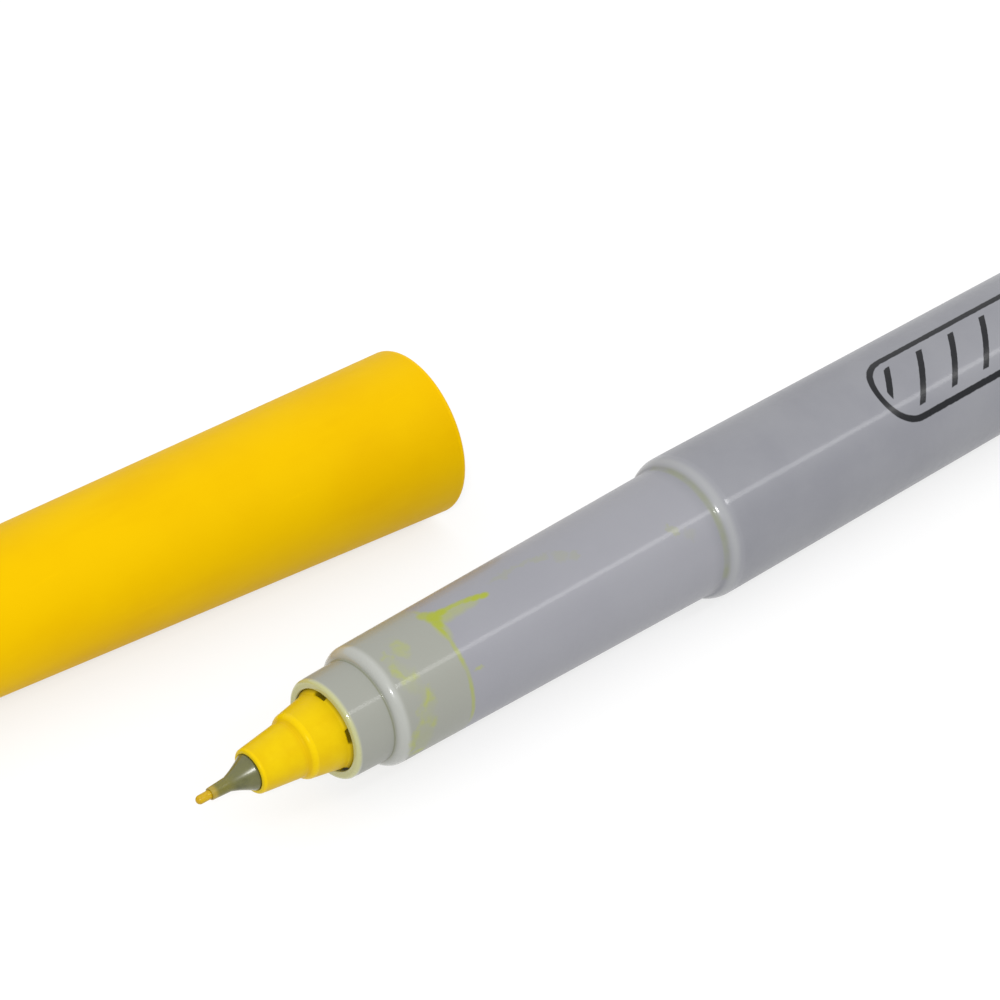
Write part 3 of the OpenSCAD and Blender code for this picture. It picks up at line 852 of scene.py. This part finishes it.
def arm_ring(c):
    """A ring of the clip's arm, which narrows to a round tip and has a round bump on its inner side."""
    tip_centre = CLIP_FREE_END + CLIP_TIP_W
    if c > tip_centre:
        along = (c - tip_centre) / (CLIP_HINGE - tip_centre)
        half_width = CLIP_TIP_W + (CLIP_ROOT_W - CLIP_TIP_W) * along
    else:
        half_width = math.sqrt(max(CLIP_TIP_W ** 2 - (tip_centre - c) ** 2, 0.01))
    lift = max(0.0, (BUMP_AT - c) / (BUMP_AT - CLIP_FREE_END))
    low, top = CLIP_INNER + CLIP_TIP_LIFT * lift, CLIP_TOP - CLIP_TIP_DROP * lift
    if abs(c - BUMP_AT) < BUMP_R:
        low = min(low, CLIP_HINGE_R - math.sqrt(BUMP_R ** 2 - (c - BUMP_AT) ** 2))
    return section(c, half_width, low, top)


def clip_rings():
    """Rings from the root to the tip, closer together where the bump and the tip curve."""
    rings = [root_ring(math.radians(80 - 10 * k)) for k in range(9)]
    c = CLIP_HINGE - 0.2
    while c > CLIP_FREE_END + 0.02:
        rings.append(arm_ring(c))
        c -= 1.0 if c > BUMP_AT + 3 else 0.14
    return rings


def block_rings():
    """Rings of the block that joins the clip to the cap, from its rounded end to its flat front."""
    rings = []
    for k in range(10):
        turn = math.radians(90 - 10 * k)
        c = BRIDGE_END - BRIDGE_ROUND + BRIDGE_ROUND * math.sin(turn)
        top = CLIP_TOP - BRIDGE_ROUND + BRIDGE_ROUND * math.cos(turn)
        inset = 0.5 * (1 - math.cos(turn)) ** 2
        rings.append(section(c, CLIP_ROOT_W - inset, BRIDGE_FOOT, top))
    for c in (48.0, 47.0, 46.2, BRIDGE_FRONT + 0.12):
        rings.append(section(c, CLIP_ROOT_W, BRIDGE_FOOT, CLIP_TOP))
    rings.append(section(BRIDGE_FRONT, CLIP_ROOT_W - 0.06, BRIDGE_FOOT, CLIP_TOP - 0.06))
    return rings


YELLOW = cap_look()
lathe("cap_tube", cap_profile(), "cap", ["cap_shell"], YELLOW, place=CAP_PLACE)
lathe("seal_tube", seal_profile(), "cap", ["cap_inner_seal"], seal_look(), place=CAP_PLACE)
loft("clip_arm", clip_rings(), "clip", ["cap_clip"], YELLOW, CLIP_PLACE)
loft("clip_block", block_rings(), "cap", [], YELLOW, CLIP_PLACE)


# ---- floor, light and camera, in metres ----

TABLE_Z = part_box("barrel")[0].z
FLOOR_SIZE = 6
FLOOR_GLOW = 0.68
FLOOR_DARK, FLOOR_LIGHT = (0.24, 0.24, 0.24), (0.26, 0.26, 0.26)
WHITE = (1, 1, 1, 1)

SKY_LOW, SKY_HIGH = 0.85, 1.4
STRIP_CENTRE = Vector((400.0, -308.0, 384.0)) * MM
STRIP_LENGTH, STRIP_WIDTH = 460 * MM, 60 * MM
STRIP_WATTS = 0.9
LAMP_TOWARDS = Vector((-0.552, -0.57, 0.61))
LAMP_DISTANCE = 600 * MM
LAMP_SIZE, LAMP_WATTS = 50 * MM, 1.5

CAMERA_HEADING = math.radians(47.64)
CAMERA_PITCH = math.radians(35.15)
CAMERA_DISTANCE = 199.55 * MM
CAMERA_TARGET = Vector((-7.34, 10.88, 0.0)) * MM
LENS_MM, SENSOR_MM = 105.16, 36


def make_floor():
    """Pale paper that glows a little, so that it stays white all the way back."""
    bpy.ops.mesh.primitive_plane_add(size=FLOOR_SIZE, location=(0, 0, TABLE_Z))
    floor = bpy.context.object
    floor.name = "floor"
    look = Look("floor_paper", 0.9, 0.1, Emission_Color=WHITE, Emission_Strength=FLOOR_GLOW)
    floor.data.materials.append(look.done(look.mix(FLOOR_DARK, FLOOR_LIGHT, look.noise(0.02, 2.0))))


def area_lamp(name, watts, size, place, towards):
    data = bpy.data.lights.new(name, "AREA")
    data.shape = "RECTANGLE"
    data.size, data.size_y = size
    data.energy = watts
    lamp = bpy.data.objects.new(name, data)
    scene.collection.objects.link(lamp)
    lamp.location = place
    lamp.rotation_euler = towards.to_track_quat("-Z", "Y").to_euler()


def make_lights():
    """A bright even sky, a small lamp in front, and a long strip that draws a line of light on the barrel."""
    world = bpy.data.worlds.new("studio")
    scene.world = world
    world.use_nodes = True
    nodes, links = world.node_tree.nodes, world.node_tree.links
    direction = nodes.new("ShaderNodeSeparateXYZ")
    links.new(nodes.new("ShaderNodeTexCoord").outputs["Generated"], direction.inputs[0])
    height = nodes.new("ShaderNodeMapRange")
    links.new(direction.outputs["Z"], height.inputs["Value"])
    height.inputs["To Min"].default_value = SKY_LOW
    height.inputs["To Max"].default_value = SKY_HIGH
    nodes["Background"].inputs["Color"].default_value = WHITE
    links.new(height.outputs["Result"], nodes["Background"].inputs["Strength"])
    front = LAMP_TOWARDS.normalized()
    front_place = CAMERA_TARGET + front * LAMP_DISTANCE
    area_lamp("front_lamp", LAMP_WATTS, (LAMP_SIZE, LAMP_SIZE), front_place, -front)
    to_barrel = Vector((0.0, -STRIP_CENTRE.y, -STRIP_CENTRE.z))
    area_lamp("strip_lamp", STRIP_WATTS, (STRIP_LENGTH, STRIP_WIDTH), STRIP_CENTRE, to_barrel)


def make_camera():
    flat = Vector((math.cos(CAMERA_HEADING), math.sin(CAMERA_HEADING), 0.0))
    forward = flat * math.cos(CAMERA_PITCH) - Vector((0, 0, 1)) * math.sin(CAMERA_PITCH)
    data = bpy.data.cameras.new("camera")
    data.lens = LENS_MM
    data.sensor_width = SENSOR_MM
    data.clip_start = 0.01
    data.clip_end = 20
    camera = bpy.data.objects.new("camera", data)
    scene.collection.objects.link(camera)
    camera.location = CAMERA_TARGET - forward * CAMERA_DISTANCE
    camera.rotation_euler = forward.to_track_quat("-Z", "Y").to_euler()
    bpy.context.scene.camera = camera


make_floor()
make_lights()
make_camera()
scene.view_settings.view_transform = "Standard"
